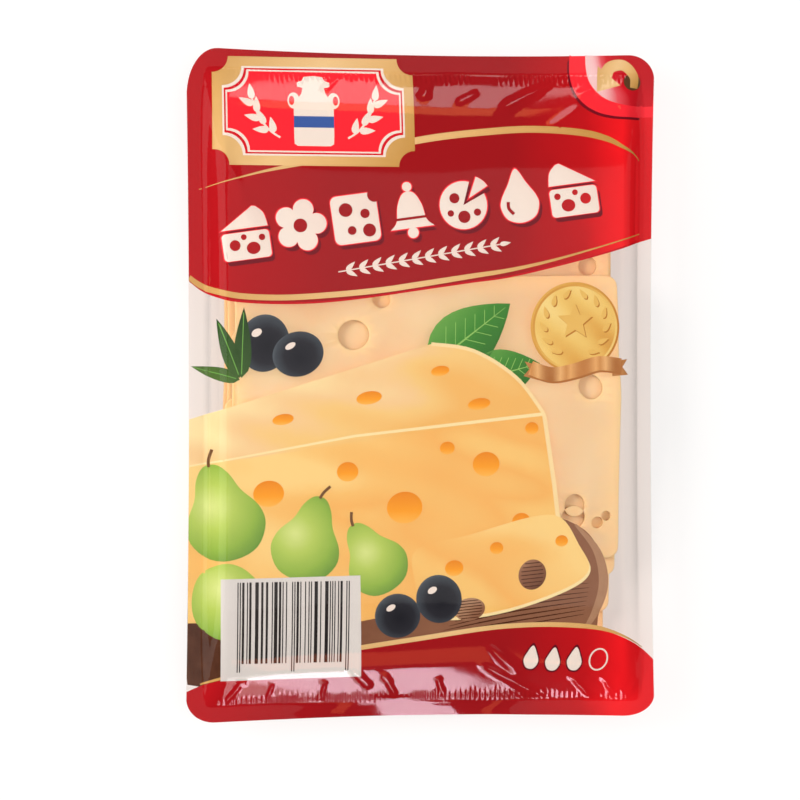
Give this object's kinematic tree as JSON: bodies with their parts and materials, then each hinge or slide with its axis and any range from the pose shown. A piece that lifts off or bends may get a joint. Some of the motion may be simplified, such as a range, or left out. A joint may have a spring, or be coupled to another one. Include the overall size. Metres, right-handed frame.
{
  "type": "pack of sliced cheese",
  "caption": "Flat shut pack: a clear formed tray with a flange, a printed lid film sealed to it, and holed cheese slices fanned inside.",
  "frame": {"origin": "centre of the pack's box, on the surface that the tray's floor lies on", "axes": "+X across the pack towards its narrow flange, +Y along the pack towards its wide flange, +Z out of the printed lid film"},
  "size_m": [0.1328, 0.1872, 0.0168],
  "materials": {
    "tray": "clear formed film, glossy, faintly grey and warm",
    "cheese": "soft cheese cut smooth, pale peach yellow with lighter cut edges and round eyes",
    "lid_film": "glossy film printed in red fields with gold lines, clear at the right"
  },
  "bodies": {
    "root": {"tray": "tray", "slice_1": "cheese", "slice_2": "cheese", "slice_3": "cheese", "slice_4": "cheese", "slice_5": "cheese", "slice_6": "cheese", "slice_7": "cheese", "slice_8": "cheese", "lid_film": "lid_film"}
  },
  "joints": []
}
